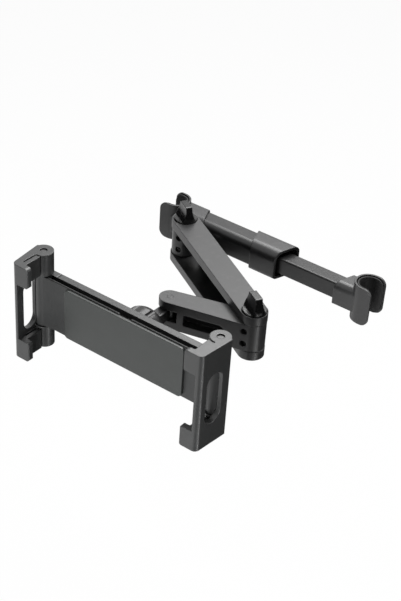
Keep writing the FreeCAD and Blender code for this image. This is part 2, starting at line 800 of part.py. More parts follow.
def slide_core():
    """The left slide's core: a block behind the face plate and a rack over the pinion."""
    front = slide_front + face_plate_thick
    block = box(-core_outer_end, -core_inner_end, front - cut / 4, core_back, -rail_inner + sliding_gap,
                rail_inner - sliding_gap)
    teeth = rack(-core_inner_end - cut, clamp_travel + rack_overlap, pinion_front + sliding_gap, core_back)
    hook = rod(peg_r, (-core_inner_end + peg_r + 0.5, pinion_front, boss_z),
               (-core_inner_end + peg_r + 0.5, core_back, boss_z))
    arm = box(-core_inner_end - cut, -core_inner_end + peg_r + 0.5, 0.9, core_back, boss_z - peg_r, boss_z + peg_r)
    return fused([block, teeth, hook, arm])


def slide_shell():
    """The left slide's outer part: the claw's knuckle, a hollowed cheek and the face plate."""
    pin = -claw_pin_x
    half = slide_knuckle_half
    knuckle = rod(slide_knuckle_r, (pin, 0, -half), (pin, 0, half))
    back = slide_front + face_plate_thick
    points = [(pin + cheek_length, slide_front), (pin + cheek_length, back), (pin, back), (pin, -slide_knuckle_r)]
    cheek = prism(points, [0] * 4, "z", slide_bottom, slide_top)
    centre = V(pin + cheek_length, slide_front - cheek_hollow_r, -half - cut)
    cheek = cheek.cut(Part.makeCylinder(cheek_hollow_r, 2 * half + 2 * cut, centre))
    points = [(pin + cheek_length - 1, slide_bottom), (-slide_inner_end, slide_bottom),
              (-slide_inner_end, slide_top), (pin + cheek_length - 1, slide_top)]
    plate = prism(points, [0, 1.5, 1.5, 0], "y", slide_front, back)
    core_half = rail_inner - sliding_gap
    rear = prism([(pin, back), (-core_outer_end + 1, back), (-core_outer_end + 1, core_back),
                  (pin, slide_knuckle_r - 0.4)], [0] * 4, "z", -core_half, core_half)
    return fused([knuckle, cheek, plate, rear])


def slide(side):
    """One slide: the left one's rack runs above the pinion, the right one's below it."""
    shell, core = slide_shell(), slide_core()
    pin = side * claw_pin_x
    if side > 0:
        shell, core = mirrored(shell), turned_half(core)
    body = fused([shell, core])
    half = slide_knuckle_half
    back = slide_front + face_plate_thick
    cutters = [rod(claw_pin_r + shaft_gap, (pin, 0, -half - cut), (pin, 0, half + cut))]
    grow = boss_r + hinge_gap
    for x, z in boss_places(side):
        ends = sorted((x, 0))
        cutters.append(box(ends[0], ends[1], slide_front - cut, back + 0.01, z - grow, z + grow))
        cutters.append(rod(grow, (x, slide_front - cut, z), (x, back + 0.01, z)))
    return drilled(body, cutters)


def claw(long_slit):
    """The left claw: outer wall with a window, and a gripping hook above and below."""
    pin = -claw_pin_x
    lean = (claw_wall_x_back - claw_wall_x_front) / -claw_front
    front_x, back_x = -claw_wall_x_front, -claw_wall_x_back - lean * claw_wall_end
    pieces, cutters = [], []
    wall_points = [(front_x, claw_front), (front_x + claw_wall, claw_front),
                   (back_x + claw_wall, claw_wall_end), (back_x, claw_wall_end)]
    wall = prism(wall_points, [claw_corner_r, 0, 0.8, 1.0], "z", -claw_half_height, claw_half_height)
    relief = rod(slide_knuckle_r + hinge_gap, (pin, 0, -claw_barrel_start), (pin, 0, claw_barrel_start))
    relief = fused([relief, box(pin, pin + 2 * claw_barrel_r, -claw_barrel_r, claw_barrel_r,
                                -claw_barrel_start, claw_barrel_start)])
    pieces.append(wall.cut(relief))
    for side in (1, -1):
        near, far = side * claw_hook_start, side * claw_half_height
        low, high = min(near, far), max(near, far)
        hook_points = [(front_x, claw_front), (-lip_reach, claw_front), (-lip_reach, claw_front + lip_thick),
                       (-tongue_face, claw_front + lip_thick), (-tongue_face, -claw_barrel_r / 2),
                       (pin, 0), (-claw_wall_x_back, 0)]
        hook = prism(hook_points, [claw_corner_r, 0.8, 0.4, 0.8, 0, 0, 0], "z", low, high)
        radii = [0, lip_inner_corner_r, lip_corner_r, 0]
        if side < 0:
            radii.reverse()
        side_view = prism([(-2 * lip_reach, low), (-lip_reach, low), (-lip_reach, high), (-2 * lip_reach, high)],
                          radii, "y", 2 * claw_front, -claw_front)
        barrel = rod(claw_barrel_r, (pin, 0, side * claw_barrel_start), (pin, 0, far))
        pieces.append(fused([hook.common(side_view), barrel]))
    body = fused(pieces)
    window_r = (window_back - window_front) / 2
    window = prism([(window_front, window_bottom), (window_back, window_bottom),
                    (window_back, window_top), (window_front, window_top)],
                   [window_r - 0.01] * 4, "x", -90, pin - 1.0)
    cutters.append(window)
    cutters.append(rod(claw_pin_r + fixed_gap / 2, (pin, 0, -60), (pin, 0, 60)))
    cutters += slit(pin, long_slit)
    return drilled(body, cutters)


def slit(pin, long_slit):
    """The sawn slit beside a claw's barrel; the long one also runs forward and frees the tongue."""
    ring = rod(slit_r + slit_width / 2, (pin, 0, -60), (pin, 0, 60))
    ring = ring.cut(rod(slit_r - slit_width / 2, (pin, 0, -60), (pin, 0, 60)))
    far = 3 * slit_r
    start_angle = long_slit_angle if long_slit else short_slit_angle
    points = [(pin, 0), (pin + far * math.cos(math.radians(start_angle)), far * math.sin(math.radians(start_angle))),
              (pin + far, -far), (pin + far * math.cos(math.radians(slit_end_angle)),
                                  far * math.sin(math.radians(slit_end_angle)))]
    arc = ring.common(prism(points, [0] * 4, "z", -60, 60))
    if not long_slit:
        return [arc]
    straight = prism([(pin - slit_width / 2, slit_start), (pin + slit_width / 2, slit_start),
                      (pin + slit_width / 2, -slit_r), (pin - slit_width / 2, -slit_r)],
                     [0.5, 0.5, 0, 0], "z", -60, 60)
    return [arc, straight]


def claw_pin():
    """The steel pin of the left claw."""
    half = claw_half_height - claw_pin_recess
    return rod(claw_pin_r, (-claw_pin_x, 0, -half), (-claw_pin_x, 0, half))


def clamp_spring():
    """The left clamp spring, drawn between the housing's peg and the slide's peg."""
    x0 = -core_inner_end + 2 * peg_r + 0.5 + clamp_spring_wire_r + fixed_gap
    x1 = -peg_x - peg_r - clamp_spring_wire_r - fixed_gap
    return moved_coil(clamp_spring_r, clamp_spring_wire_r, clamp_spring_turns, x0, x1, 0, boss_z)


def at_cradle(shape):
    """A shape of the cradle, moved to its place."""
    return moved(shape, cradle_x, cradle_y)


def turned_half(shape):
    """A copy turned half way round the ball joint's axis."""
    copy = shape.copy()
    copy.rotate(V(0, 0, 0), V(0, 1, 0), 180)
    return copy


def at_shoulder(shape):
    """A shape of the upper arm, moved to its place."""
    return moved(shape, shoulder_x, shoulder_y, 0, shoulder_angle)


def at_elbow(shape):
    """A shape of the lower arm, moved to its place."""
    return moved(shape, elbow_x, elbow_y, 0, lower_arm_angle)


def all_parts():
    """Every piece by name, in its place."""
    length = upper_arm_length
    return {
        "left_hook": left_hook(),
        "left_hook_pad": hook_pad(),
        "outer_tube": outer_tube(),
        "lock_collar": lock_collar(),
        "bar_guide": bar_guide(),
        "bar_spring": bar_spring(),
        "shoulder_bush": moved(bush(), shoulder_x, shoulder_y),
        "shoulder_set_screws": moved(set_screws(shoulder_screw_angle), shoulder_x, shoulder_y),
        "inner_bar": inner_bar(),
        "right_hook": right_hook(),
        "right_hook_pad": moved(mirrored(hook_pad()), post_spacing),
        "upper_arm": at_shoulder(upper_arm()),
        "shoulder_bolt": at_shoulder(hinge_bolt()),
        "shoulder_washers": at_shoulder(washers()),
        "elbow_bolt": at_shoulder(moved(hinge_bolt(), length)),
        "elbow_washers": at_shoulder(moved(washers(), length)),
        "shoulder_knob": at_shoulder(knob()),
        "shoulder_knob_insert": at_shoulder(knob_insert()),
        "elbow_knob": at_shoulder(moved(knob(), length)),
        "elbow_knob_insert": at_shoulder(moved(knob_insert(), length)),
        "lower_arm": at_elbow(lower_arm()),
        "elbow_bush": at_elbow(bush()),
        "elbow_set_screws": at_elbow(set_screws(elbow_screw_angle - lower_arm_angle)),
        "stem_pin": at_elbow(stem_pin()),
        "ball_stem": at_cradle(ball_stem()),
        "ball_cup": at_cradle(ball_cup()),
        "ball_ring": at_cradle(ball_ring()),
        "ball_nut": at_cradle(ball_nut()),
        "rear_housing": at_cradle(rear_housing()),
        "front_plate": at_cradle(front_plate()),
        "housing_screws": at_cradle(housing_screws()),
        "pinion_pin": at_cradle(pinion_pin()),
        "pinion": at_cradle(pinion()),
        "left_slide": at_cradle(slide(-1)),
        "right_slide": at_cradle(slide(1)),
        "left_clamp_spring": at_cradle(clamp_spring()),
        "right_clamp_spring": at_cradle(turned_half(clamp_spring())),
        "left_claw": at_cradle(claw(True)),
        "left_claw_pin": at_cradle(claw_pin()),
        "right_claw": at_cradle(mirrored(claw(False))),
        "right_claw_pin": at_cradle(mirrored(claw_pin())),
    }


def main():
    """Writes one file for each piece."""
    os.makedirs("parts", exist_ok=True)
    for name, shape in all_parts().items():
        shape.exportStep("parts/" + name + ".step")
        print(name, len(shape.Solids), "solid(s)", round(sum(s.Volume for s in shape.Solids), 1), shape.isValid())


main()
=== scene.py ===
"""Dresses a headrest tablet holder: satin mouldings, a painted bar, soft hook liners and metal fittings."""

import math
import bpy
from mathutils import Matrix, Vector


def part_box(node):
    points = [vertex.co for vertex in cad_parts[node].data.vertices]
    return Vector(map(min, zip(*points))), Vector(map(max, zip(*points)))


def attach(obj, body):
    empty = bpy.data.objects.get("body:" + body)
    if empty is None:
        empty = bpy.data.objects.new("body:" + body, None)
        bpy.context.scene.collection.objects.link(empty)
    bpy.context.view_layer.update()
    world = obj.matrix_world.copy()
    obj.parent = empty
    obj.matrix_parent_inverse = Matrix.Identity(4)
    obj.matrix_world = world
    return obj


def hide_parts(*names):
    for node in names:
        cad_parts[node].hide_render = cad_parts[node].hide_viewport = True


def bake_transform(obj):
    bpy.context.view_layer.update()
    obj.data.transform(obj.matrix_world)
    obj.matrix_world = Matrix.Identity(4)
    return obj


bl_info = {
    "name": "Headrest Tablet Holder",
    "version": (1, 0, 0),
    "blender": (4, 5, 0),
    "location": "3D View > Sidebar > Tablet Holder",
    "description": "Finishes and studio for a headrest tablet holder",
    "category": "Object",
}

import bpy
from bpy.props import FloatProperty, FloatVectorProperty, IntProperty, PointerProperty
from mathutils import Matrix, Vector

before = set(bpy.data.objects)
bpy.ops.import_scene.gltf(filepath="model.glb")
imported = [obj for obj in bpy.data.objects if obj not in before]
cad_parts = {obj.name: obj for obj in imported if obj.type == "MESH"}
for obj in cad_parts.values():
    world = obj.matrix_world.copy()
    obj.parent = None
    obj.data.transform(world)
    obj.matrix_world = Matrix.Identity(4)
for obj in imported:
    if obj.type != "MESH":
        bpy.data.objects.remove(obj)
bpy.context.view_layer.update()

# The pieces of each finish
CRADLE_MOULDINGS = ("rear_housing", "left_claw", "right_claw")
SLIDES = ("left_slide", "right_slide")
HOOK_MOULDINGS = ("left_hook", "right_hook")
ARM_MOULDINGS = ("upper_arm", "lower_arm", "stem_pin")
KNOB_MOULDINGS = ("shoulder_knob", "elbow_knob")
NUT_MOULDINGS = ("ball_nut", "ball_stem")
PAINTED_BARS = ("outer_tube", "inner_bar")
BEARINGS = ("bar_guide", "shoulder_bush", "elbow_bush", "ball_cup", "ball_ring", "pinion")
TURNED_STEEL = ("shoulder_bolt", "elbow_bolt", "pinion_pin", "shoulder_washers", "elbow_washers")
COATED_PINS = ("left_claw_pin", "right_claw_pin")
DARK_SCREWS = ("shoulder_set_screws", "elbow_set_screws", "housing_screws")
BRASS_INSERTS = ("shoulder_knob_insert", "elbow_knob_insert")

# How far a pattern is squeezed along each axis: a small share draws it out into lines along that axis
EVEN = (1.0, 1.0, 1.0)
FLOW_ALONG_X = (0.3, 1.0, 1.0)
FLOW_ALONG_PLATE = (0.25, 1.0, 1.0)
FLOW_ALONG_ARMS = (0.5, 0.5, 1.0)
ROUND_AN_UPRIGHT = (0.05, 0.05, 1.0)
ALONG_THE_WIRE = (1.0, 0.2, 0.2)

# Colours under and over the finishes
DUST_COLOUR = (0.34, 0.33, 0.31, 1.0)
DUST_SHARE = 0.05
WORN_PAINT = (0.075, 0.075, 0.077, 1.0)
WHITE = (1.0, 1.0, 1.0, 1.0)
FELT_COLOUR = (0.008, 0.008, 0.008)

# How softly the painted shade on the slides' tops ends
SHADE_END_FADE = 0.0004
SHADE_TOP_FADE = 0.0003

# Points along the curves of the meshes that are made here
ARC_STEPS = 8
LEG_STEPS = 10
BEND_STEPS = 48
CORNER_STEPS = 3
COIL_STEPS_PER_TURN = 24
WIRE_SIDES = 10

# The part of a turn that lies flat at each end of a coil
END_TURN = 0.75

# The studio, in metres and degrees, with the camera's sensor in millimetres
STAGE_MIDDLE = (0.08, -0.06, 0.0)
FLOOR_RADIUS = 4.0
FLOOR_SIDES = 64
FLOOR_WHITE_SHARE = 0.95
CARD_SECTORS = ((-78, -38), (-8, 145))
CARD_RADII = (1.6, 0.05)
CARD_STEPS = 16
CARD_LIFT = 0.01
FLAG_RADIUS = 0.9
FLAG_SECTOR = (-190, 10)
FLAG_HEIGHTS = (-0.24, 0.52)
FLAG_STEPS = 48
CAMERA_PLACE = (0.47507, -0.64769, 0.47799)
CAMERA_RIGHT = (0.79761, 0.60043, 0.05739)
CAMERA_FORWARD = (-0.46977, 0.67807, -0.56528)
SENSOR_WIDTH = 36.0


# Sizes and colours

def shade(name, text, default):
    """A colour property."""
    return FloatVectorProperty(name=name, description=text, subtype="COLOR", size=3, min=0.0, max=1.0,
                               default=default)


def length(name, text, default):
    """A length property in metres."""
    return FloatProperty(name=name, description=text, unit="LENGTH", subtype="DISTANCE", min=0.0,
                         precision=5, default=default)


def share(name, text, default):
    """A property from 0 to 1."""
    return FloatProperty(name=name, description=text, subtype="FACTOR", min=0.0, max=1.0, default=default)


def power(name, text, default):
    """A lamp's power in watts."""
    return FloatProperty(name=name, description=text, subtype="POWER", min=0.0, default=default)


def turns(name, text, default):
    """A number of turns of a spring."""
    return IntProperty(name=name, description=text, min=3, default=default)


class MouldingFinish(bpy.types.PropertyGroup):
    """Colours and grain of the plastic mouldings."""
    cradle_colour: shade("Cradle", "Plastic of the housing, slides, claws and end blocks",
                         (0.041, 0.042, 0.042))
    plate_colour: shade("Front plate", "Plastic of the cradle's front plate", (0.033, 0.036, 0.0345))
    hook_colour: shade("Hooks", "Plastic of the two hooks", (0.028, 0.028, 0.0284))
    collar_colour: shade("Collar", "Plastic of the collar at the tube's mouth", (0.033, 0.033, 0.0335))
    nut_colour: shade("Nut and stem", "Plastic of the ball nut and the ball stem", (0.008, 0.008, 0.0082))
    # Painted shade: this dark colour stands for the shadow in the channel behind the front plate, laid on the
    # slides' tops
    slide_top_shade_colour: shade("Racks", "Greased tops of the slides inside the cradle", (0.007, 0.007, 0.0071))
    arm_colour: shade("Arms", "Plastic of the two arms and the stem's pin", (0.040, 0.040, 0.0405))
    knob_colour: shade("Knobs", "Plastic of the two hinge knobs", (0.006, 0.006, 0.0062))
    roughness: share("Roughness", "How dull the satin plastic is", 0.34)
    grain_size: length("Grain size", "Width of one grain of the moulded texture", 0.00035)
    grain_depth: length("Grain depth", "Depth of the moulded texture", 0.000012)
    edge_radius: length("Edge radius", "Rounding of the moulded edges", 0.0007)
    collar_edge: length("Collar's edge", "Rounding of the collar's edges", 0.0011)
    # Where the painted shade on the slides' tops begins and how far it reaches
    shade_top: length("Rack top", "Height above the bar's middle from which the racks are dark", 0.0180)
    shade_reach: length("Rack reach", "How far the dark racks reach from the cradle's middle", 0.0605)
    # The edges' lighter colour is partly handling wear and partly a painted highlight along the rims
    edge_wear_and_highlight: share("Edge wear", "How much the edges are polished lighter by handling", 0.35)


class EndBlockSize(bpy.types.PropertyGroup):
    """Size of the blocks on the slides' ends."""
    length: length("Length", "Length of a block along the slide", 0.0088)
    depth: length("Depth", "Thickness of a block from front to back", 0.0048)
    setback: length("Setback", "How far a block stands behind the housing's front", 0.0043)
    foot: length("Foot", "How far a block's foot lies above the housing's", 0.0008)
    clearance: length("Clearance", "Gap between a block and the housing when the clamp is closed", 0.00015)
    housing_rounding: length("Housing's rounding", "Rounding of the housing's ends, which the block follows",
                             0.003)
    corner: length("Corner", "Rounding of a block's outer corners", 0.001)


class BarFinish(bpy.types.PropertyGroup):
    """Paint of the telescopic bar."""
    paint_colour: shade("Paint", "Black paint of the tube and the inner bar", (0.015, 0.015, 0.0153))
    roughness: share("Roughness", "How dull the paint is", 0.31)
    ripple_size: length("Ripple size", "Width of one ripple in the paint", 0.0014)
    ripple_depth: length("Ripple depth", "Depth of the ripples in the paint", 0.000005)
    edge_radius: length("Edge radius", "Rounding of the painted edges", 0.0005)


class LinerFinish(bpy.types.PropertyGroup):
    """Shape and rubber of the hooks' soft liners."""
    rubber_colour: shade("Rubber", "Rubber of the liners", (0.014, 0.014, 0.0143))
    roughness: share("Roughness", "How dull the rubber is", 0.68)
    post_radius: length("Post radius", "Inner radius of a liner, round a headrest post", 0.0072)
    wall: length("Wall", "Thickness of a liner", 0.00165)
    rim_wall: length("Rim wall", "Thickness of a liner's upper and lower rim", 0.0010)
    rim_height: length("Rim height", "Height of a liner's upper and lower rim", 0.0015)
    half_height: length("Half height", "Half the height of a liner", 0.0133)
    reach: length("Reach", "Length of a liner's straight legs", 0.0062)
    leg_corner: length("Leg corner", "Rounding at the ends of the legs", 0.0055)
    edge_radius: length("Edge radius", "Rounding along the liner's edges", 0.0003)


class FittingFinish(bpy.types.PropertyGroup):
    """Metals and bearing plastic of the fittings."""
    steel_colour: shade("Steel", "Plain steel of bolts, pins and washers", (0.56, 0.56, 0.57))
    dark_colour: shade("Dark steel", "Blackened steel of the small screws", (0.09, 0.09, 0.093))
    coating_colour: shade("Coating", "Dark coating of the claw pins", (0.055, 0.055, 0.0555))
    brass_colour: shade("Brass", "Brass of the knobs' inserts", (0.72, 0.56, 0.30))
    bearing_colour: shade("Bearing plastic", "Natural plastic of bushes, cups and gear", (0.62, 0.61, 0.57))
    mark_spacing: length("Tool marks", "Spacing of the turning marks", 0.00025)


class CoilSize(bpy.types.PropertyGroup):
    """Wire and turns of the three springs."""
    wire_colour: shade("Wire", "Drawn wire of the springs", (0.50, 0.50, 0.51))
    bar_wire: length("Bar spring's wire", "Radius of the bar spring's wire", 0.0005)
    bar_turns: turns("Bar spring's turns", "Turns of the bar spring", 9)
    clamp_wire: length("Clamp springs' wire", "Radius of the clamp springs' wire", 0.0003)
    clamp_turns: turns("Clamp springs' turns", "Turns of each clamp spring", 8)


class StudioSettings(bpy.types.PropertyGroup):
    """Floor, lamps and camera."""
    floor_drop: length("Floor drop", "How far the floor lies below the bar", 0.30)
    floor_colour: shade("Floor", "Pale floor", (0.86, 0.86, 0.86))
    top_power: power("Top lamp", "Power of the wide lamp overhead", 20.5)
    front_power: power("Front lamp", "Power of the wide lamp in front", 11.0)
    side_power: power("Side strip", "Power of the narrow lamp at the right", 0.12)
    room_light: share("Room light", "Even light from all sides", 0.05)
    focal_length: FloatProperty(name="Focal length", description="Focal length of the camera",
                                unit="CAMERA", min=1.0, default=77.87)


# Node helpers

def add(tree, kind, label, inputs=None, **settings):
    """One node with its settings; an input given as a socket is linked, any other is set."""
    made = tree.nodes.new(kind)
    made.name = made.label = label
    for key, value in settings.items():
        setattr(made, key, value)
    for key, value in (inputs or {}).items():
        if isinstance(value, bpy.types.NodeSocket):
            tree.links.new(value, made.inputs[key])
        else:
            made.inputs[key].default_value = value
    return made


def new_group(name, inputs, outputs):
    """An empty shader node group; returns it with its input and output nodes."""
    tree = bpy.data.node_groups.new(name, "ShaderNodeTree")
    for label, kind, default in inputs:
        socket = tree.interface.new_socket(name=label, in_out="INPUT", socket_type=kind)
        if default is not None:
            socket.default_value = default
    for label, kind in outputs:
        tree.interface.new_socket(name=label, in_out="OUTPUT", socket_type=kind)
    return tree, tree.nodes.new("NodeGroupInput"), tree.nodes.new("NodeGroupOutput")


def math_node(tree, operation, first, second=0.0, clamp=False):
    """The result of one sum on two values."""
    node = add(tree, "ShaderNodeMath", operation.title(), {0: first, 1: second}, operation=operation,
               use_clamp=clamp)
    return node.outputs[0]


def spread(tree, value, low, high, new_low, new_high):
    """A value moved smoothly from one range to another."""
    node = add(tree, "ShaderNodeMapRange", "Spread",
               {"Value": value, "From Min": low, "From Max": high, "To Min": new_low, "To Max": new_high},
               interpolation_type="SMOOTHSTEP")
    return node.outputs["Result"]


def mixed(tree, factor, first, second):
    """Two colours mixed by a factor."""
    # A mix node has sockets of every kind: 6 and 7 take its colours, and output 2 gives the result
    node = add(tree, "ShaderNodeMix", "Mix", {0: factor, 6: first, 7: second}, data_type="RGBA")
    return node.outputs[2]


def tinted(tree, mask, strength, under, over):
    """A colour over another, where a mask lets it through and as strongly as a share says."""
    return mixed(tree, math_node(tree, "MULTIPLY", mask, strength), under, over)


def added(tree, first, first_share, second, second_share):
    """Two values, each times its share, added up."""
    return math_node(tree, "ADD", math_node(tree, "MULTIPLY", first, first_share),
                     math_node(tree, "MULTIPLY", second, second_share))


def noise(tree, label, vector, scale, detail, roughness=0.5, distortion=0.0):
    """The value of a noise pattern."""
    node = add(tree, "ShaderNodeTexNoise", label, {"Vector": vector, "Scale": scale, "Detail": detail,
                                                   "Roughness": roughness, "Distortion": distortion})
    return node.outputs["Fac"]


def stretched(tree, label, given):
    """A group's position, squeezed along each axis by its stretch."""
    node = add(tree, "ShaderNodeVectorMath", label,
               {0: given.outputs["Position"], 1: given.outputs["Stretch"]}, operation="MULTIPLY")
    return node.outputs[0]


def rgba(colour, factor=1.0):
    """A property's colour, lighter or darker by a factor, as four numbers."""
    return (*(min(1.0, c * factor) for c in colour), 1.0)


# Effects shared by several finishes

def grain_group():
    """Fine pebble of a moulded surface."""
    tree, given, result = new_group(
        "Moulded grain",
        [("Position", "NodeSocketVector", None), ("Grain Size", "NodeSocketFloat", 0.0004)],
        [("Height", "NodeSocketFloat"), ("Speckle", "NodeSocketFloat")])
    place = given.outputs["Position"]
    scale = math_node(tree, "DIVIDE", 1.0, given.outputs["Grain Size"])
    pebble = noise(tree, "Pebble", place, scale, detail=2.0, roughness=0.55)
    coarse = noise(tree, "Coarser pebble", place, math_node(tree, "MULTIPLY", scale, 0.37), detail=1.0)
    tree.links.new(added(tree, pebble, 0.625, coarse, 0.375), result.inputs["Height"])
    tree.links.new(spread(tree, pebble, 0.35, 0.65, 0.0, 1.0), result.inputs["Speckle"])
    return tree


def mottle_group():
    """Slow change of tone over a moulding, with faint flow lines."""
    tree, given, result = new_group(
        "Soft mottle",
        [("Position", "NodeSocketVector", None), ("Patch Size", "NodeSocketFloat", 0.01),
         ("Stretch", "NodeSocketVector", EVEN)],
        [("Tone", "NodeSocketFloat"), ("Cloud", "NodeSocketFloat")])
    scale = math_node(tree, "DIVIDE", 1.0, given.outputs["Patch Size"])
    cloud = noise(tree, "Cloud", given.outputs["Position"], scale, detail=3.0, roughness=0.6)
    flow = noise(tree, "Flow lines", stretched(tree, "Flow direction", given),
                 math_node(tree, "MULTIPLY", scale, 2.5), detail=2.0, distortion=0.3)
    both = added(tree, cloud, 0.65, flow, 0.35)
    tree.links.new(spread(tree, both, 0.3, 0.7, 0.0, 1.0), result.inputs["Tone"])
    tree.links.new(cloud, result.inputs["Cloud"])
    return tree


def edge_group():
    """Rounded edges and a broken mask along them, for wear and, on the mouldings, a painted highlight."""
    tree, given, result = new_group(
        "Edge wear",
        [("Position", "NodeSocketVector", None), ("Radius", "NodeSocketFloat", 0.0004),
         ("Break Size", "NodeSocketFloat", 0.003)],
        [("Mask", "NodeSocketFloat"), ("Normal", "NodeSocketVector")])
    rounded = add(tree, "ShaderNodeBevel", "Rounded edge", {"Radius": given.outputs["Radius"]}, samples=6)
    flat = tree.nodes.new("ShaderNodeNewGeometry")
    facing = add(tree, "ShaderNodeVectorMath", "Turned away",
                 {0: rounded.outputs[0], 1: flat.outputs["Normal"]}, operation="DOT_PRODUCT")
    turned = spread(tree, facing.outputs["Value"], 0.995, 0.80, 0.0, 1.0)
    scale = math_node(tree, "DIVIDE", 1.0, given.outputs["Break Size"])
    breaks = noise(tree, "Breaks", given.outputs["Position"], scale, detail=4.0, roughness=0.65)
    patchy = spread(tree, breaks, 0.30, 0.62, 0.35, 1.0)
    tree.links.new(math_node(tree, "MULTIPLY", turned, patchy, clamp=True), result.inputs["Mask"])
    tree.links.new(rounded.outputs[0], result.inputs["Normal"])
    return tree


def dust_group():
    """A little dust on faces that look up."""
    tree, given, result = new_group(
        "Settled dust",
        [("Position", "NodeSocketVector", None), ("Patch Size", "NodeSocketFloat", 0.004)],
        [("Mask", "NodeSocketFloat")])
    surface = tree.nodes.new("ShaderNodeNewGeometry")
    split = add(tree, "ShaderNodeSeparateXYZ", "Up share", {0: surface.outputs["Normal"]})
    upward = spread(tree, split.outputs["Z"], 0.55, 1.0, 0.0, 1.0)
    scale = math_node(tree, "DIVIDE", 1.0, given.outputs["Patch Size"])
    specks = noise(tree, "Specks", given.outputs["Position"], scale, detail=6.0, roughness=0.75)
    thin = spread(tree, specks, 0.48, 0.75, 0.0, 1.0)
    tree.links.new(math_node(tree, "MULTIPLY", upward, thin, clamp=True), result.inputs["Mask"])
    return tree


def tool_mark_group():
    """Close parallel marks left by turning or drawing."""
    tree, given, result = new_group(
        "Tool marks",
        [("Position", "NodeSocketVector", None), ("Spacing", "NodeSocketFloat", 0.0003),
         ("Stretch", "NodeSocketVector", ROUND_AN_UPRIGHT)],
        [("Height", "NodeSocketFloat"), ("Streak", "NodeSocketFloat")])
    along = stretched(tree, "Mark direction", given)
    scale = math_node(tree, "DIVIDE", 1.0, given.outputs["Spacing"])
    marks = noise(tree, "Marks", along, scale, detail=3.0, roughness=0.7)
    bands = noise(tree, "Bands", along, math_node(tree, "MULTIPLY", scale, 0.12), detail=2.0)
    tree.links.new(marks, result.inputs["Height"])
    both = added(tree, marks, 0.6, bands, 0.4)
    tree.links.new(spread(tree, both, 0.35, 0.65, 0.0, 1.0), result.inputs["Streak"])
    return tree


EFFECTS = {"grain": grain_group, "mottle": mottle_group, "edge": edge_group, "dust": dust_group,
           "marks": tool_mark_group}
built_effects = {}


def effect(tree, kind, label, inputs):
    """One of the shared effects, placed in a material with its own values."""
    if kind not in built_effects:
        built_effects[kind] = EFFECTS[kind]()
    return add(tree, "ShaderNodeGroup", label, inputs, node_tree=built_effects[kind])


# Finishes

def blank_material(name):
    """A material with a bare surface shader; returns it with its tree, shader and position."""
    material = bpy.data.materials.new(name)
    material.use_nodes = True
    tree = material.node_tree
    shader = tree.nodes["Principled BSDF"]
    position = tree.nodes.new("ShaderNodeTexCoord").outputs["Object"]
    return material, tree, shader, position


def emboss(tree, shader, label, height, strength, distance, over=None):
    """Gives a shader a fine relief, laid over its rounded edges where it has them."""
    inputs = {"Height": height, "Strength": strength, "Distance": distance}
    if over is not None:
        inputs["Normal"] = over
    bump = add(tree, "ShaderNodeBump", label, inputs)
    tree.links.new(bump.outputs[0], shader.inputs["Normal"])


def painted_slide_top_shade(tree, look, position, tone, middle, plain):
    """Painted shade on the slides' tops inside the cradle, where the channel behind the front plate lies in
    shadow, and the plain plastic round it.
    """
    split = add(tree, "ShaderNodeSeparateXYZ", "Along the slide", {0: position})
    away = math_node(tree, "ABSOLUTE", math_node(tree, "SUBTRACT", split.outputs["X"], middle))
    painted_dark = mixed(tree, tone, rgba(look.slide_top_shade_colour, 0.9), rgba(look.slide_top_shade_colour, 1.15))
    outside = spread(tree, away, look.shade_reach, look.shade_reach + SHADE_END_FADE, 0.0, 1.0)
    below = spread(tree, split.outputs["Z"], look.shade_top, look.shade_top + SHADE_TOP_FADE, 1.0, 0.0)
    return mixed(tree, math_node(tree, "MAXIMUM", outside, below), painted_dark, plain)


def moulded_plastic(name, colour, look, roughness_shift=0.0, specular=0.5, flow=EVEN, edge_radius=None,
                    shade_middle=None):
    """Satin moulded plastic with a fine pebble, faint flow lines, edges lighter from wear and a painted
    highlight, and a little dust.
    """
    material, tree, shader, position = blank_material(name)
    grain = effect(tree, "grain", "Moulded grain", {"Position": position, "Grain Size": look.grain_size})
    mottle = effect(tree, "mottle", "Soft mottle",
                    {"Position": position, "Patch Size": 0.014, "Stretch": flow})
    edge = effect(tree, "edge", "Edge wear",
                  {"Position": position, "Radius": edge_radius or look.edge_radius, "Break Size": 0.0035})
    dust = effect(tree, "dust", "Settled dust", {"Position": position, "Patch Size": 0.0045})
    base = mixed(tree, mottle.outputs["Tone"], rgba(colour, 0.94), rgba(colour, 1.06))
    speckled = tinted(tree, grain.outputs["Speckle"], 0.10, base, rgba(colour, 1.8))
    # Lighter edges: partly wear, partly a painted highlight along the rims
    edge_toned = tinted(tree, edge.outputs["Mask"], look.edge_wear_and_highlight, speckled, rgba(colour, 1.9))
    top = tinted(tree, dust.outputs["Mask"], DUST_SHARE, edge_toned, DUST_COLOUR)
    # Painted shade on the slides' tops inside the cradle
    if shade_middle is not None:
        top = painted_slide_top_shade(tree, look, position, mottle.outputs["Tone"], shade_middle, top)
    tree.links.new(top, shader.inputs["Base Color"])
    rough = look.roughness + roughness_shift
    varied = spread(tree, mottle.outputs["Cloud"], 0.3, 0.7, rough - 0.015, rough + 0.015)
    polished = math_node(tree, "MULTIPLY", edge.outputs["Mask"], -0.10)
    tree.links.new(math_node(tree, "ADD", varied, polished), shader.inputs["Roughness"])
    emboss(tree, shader, "Pebble", grain.outputs["Height"], strength=0.6, distance=look.grain_depth,
           over=edge.outputs["Normal"])
    shader.inputs["Specular IOR Level"].default_value = specular
    return material


